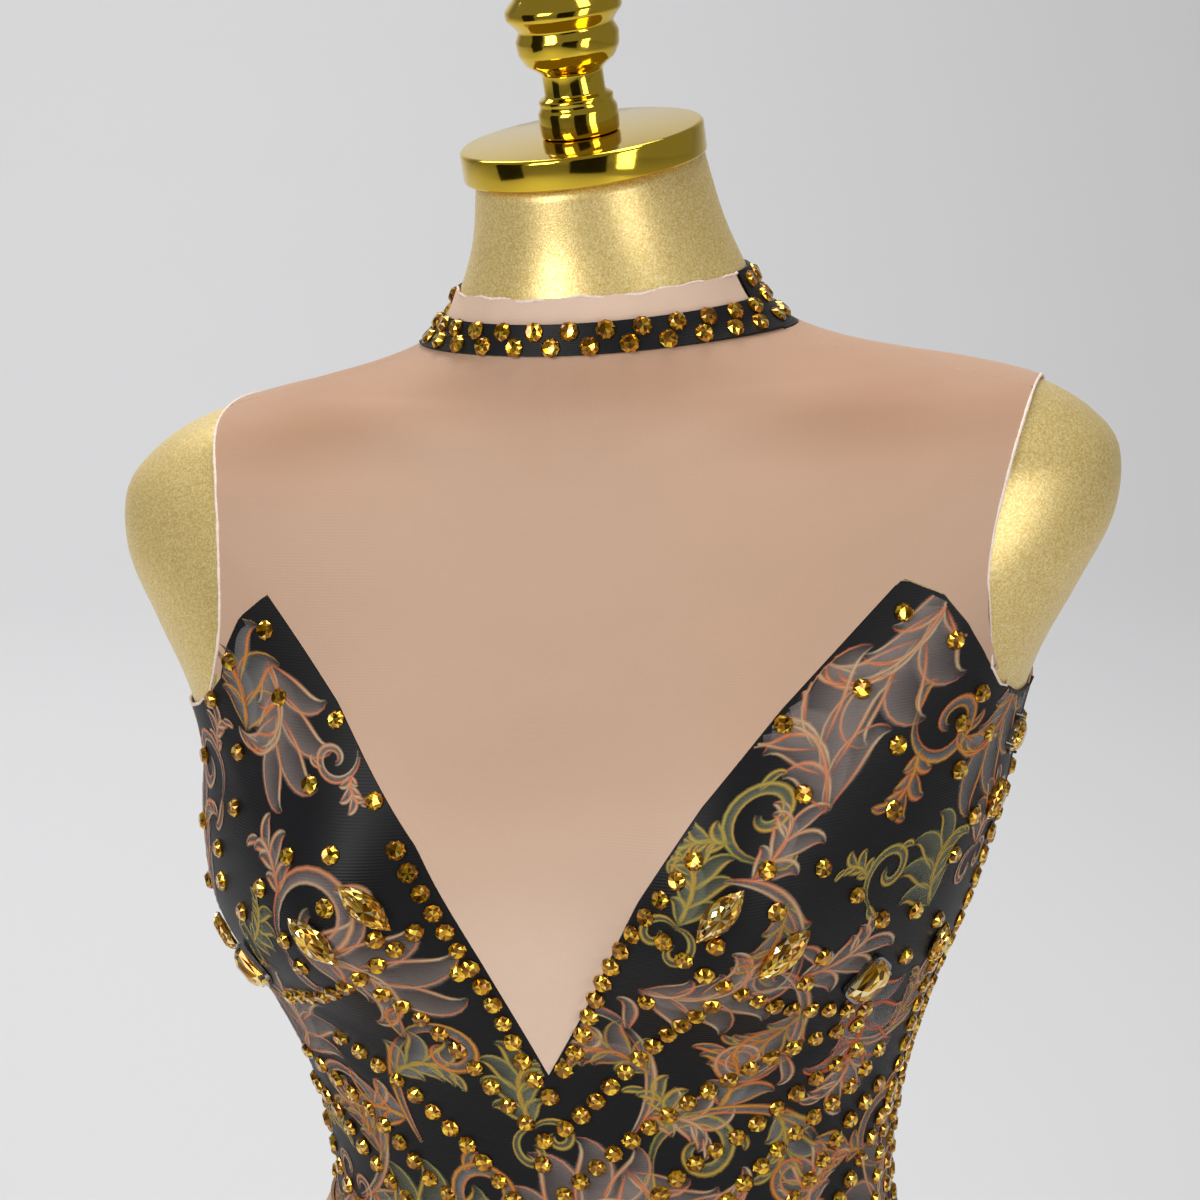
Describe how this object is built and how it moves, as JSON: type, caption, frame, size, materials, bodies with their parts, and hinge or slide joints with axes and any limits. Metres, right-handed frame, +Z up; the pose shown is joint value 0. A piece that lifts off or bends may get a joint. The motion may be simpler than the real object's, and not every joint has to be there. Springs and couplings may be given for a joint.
{
  "type": "fringed latin dance bodysuit on a dress form",
  "caption": "Sleeveless high-neck dance bodysuit with plunging printed bodice, sewn-on gems and waist fringe, worn by a limbless dress form on a round stand.",
  "frame": {"origin": "centre of the stand base's underside, on the floor", "axes": "+Z up along the stand, -Y out of the garment's front, +X towards the wearer's left"},
  "size_m": [0.383, 0.33, 1.0455],
  "materials": {
    "nude_mesh": "fine stretch mesh, matt",
    "printed_spandex": "black stretch knit with an ornamental print, slight sheen",
    "black_spandex": "black stretch knit, slight sheen",
    "gold_fringe": "glossy gold chainette fringe",
    "topaz_gem": "faceted, foiled behind",
    "satin_gold_form": "satin gold with fine sparkle",
    "polished_gold": "polished"
  },
  "bodies": {
    "root": {"yoke_front": "nude_mesh", "yoke_back": "nude_mesh", "bodice_front": "printed_spandex", "bodice_back": "printed_spandex", "neck_band_front": "black_spandex", "neck_band_back_left": "black_spandex", "neck_band_back_right": "black_spandex", "fringe_waist": "gold_fringe", "gem_marquise_right_inner": "topaz_gem", "gem_marquise_right_outer": "topaz_gem", "gem_marquise_left_inner": "topaz_gem", "gem_marquise_left_outer": "topaz_gem", "gem_octagon_right": "topaz_gem", "gem_octagon_left": "topaz_gem", "gem_navette_right": "topaz_gem", "gem_navette_left": "topaz_gem", "gem_navette_left_side": "topaz_gem", "gem_oval_left_side": "topaz_gem", "form_torso": "satin_gold_form", "neck_cap": "polished_gold", "finial": "polished_gold", "bottom_plate": "polished_gold", "stand_pole": "polished_gold", "stand_base": "polished_gold"}
  },
  "joints": []
}
